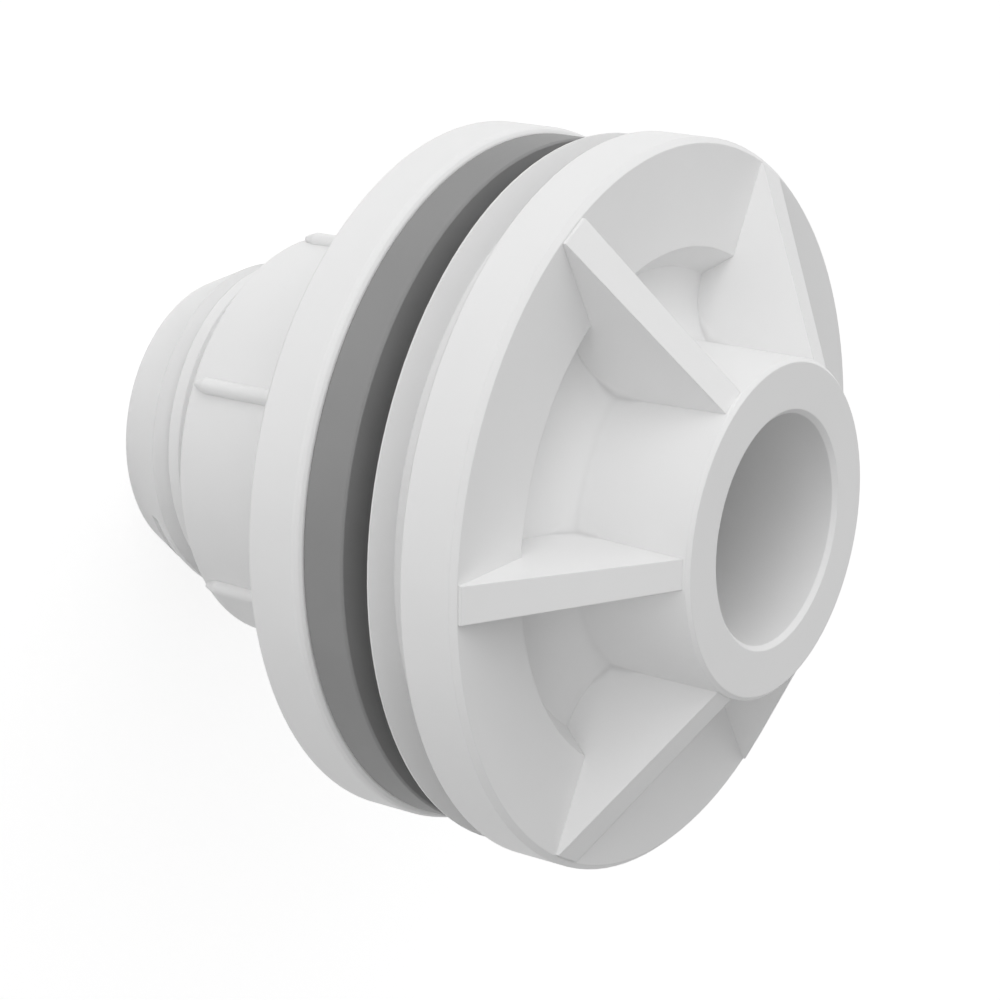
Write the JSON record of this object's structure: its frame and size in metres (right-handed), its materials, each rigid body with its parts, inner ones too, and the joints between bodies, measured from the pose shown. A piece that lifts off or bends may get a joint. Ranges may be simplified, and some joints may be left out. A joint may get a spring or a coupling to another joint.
{
  "type": "tank connector",
  "caption": "White plastic tank connector with a ribbed flange, a pipe socket, a threaded tube, a rubber sealing ring and a flanged lock nut.",
  "frame": {"origin": "centre of the plain end face of the threaded tube, which the fitting stands on", "axes": "+Z along the tube's axis, towards the flange and the mouth of the pipe socket"},
  "size_m": [0.08, 0.08, 0.0765],
  "materials": {
    "body_plastic": "semi-gloss moulded",
    "nut_plastic": "semi-gloss moulded",
    "seal_rubber": "matt"
  },
  "bodies": {
    "fitting": {"connector_body": "body_plastic"},
    "seal": {"sealing_ring": "seal_rubber"},
    "nut": {"lock_nut": "nut_plastic"}
  },
  "joints": [
    {"name": "seal_slide", "type": "slide", "parent": "fitting", "child": "seal", "axis": [0, 0, 1], "range_m": [-0.01235, 0.00359]},
    {"name": "nut_turn", "type": "hinge", "parent": "seal", "child": "nut", "pos_m": [0, 0, 0.03], "axis": [0, 0, 1], "range_deg": [-1170, 340]}
  ],
  "couplings": [
    {"joint": "seal_slide", "follows": "nut_turn", "m_per_rad": 0.00060479}
  ]
}
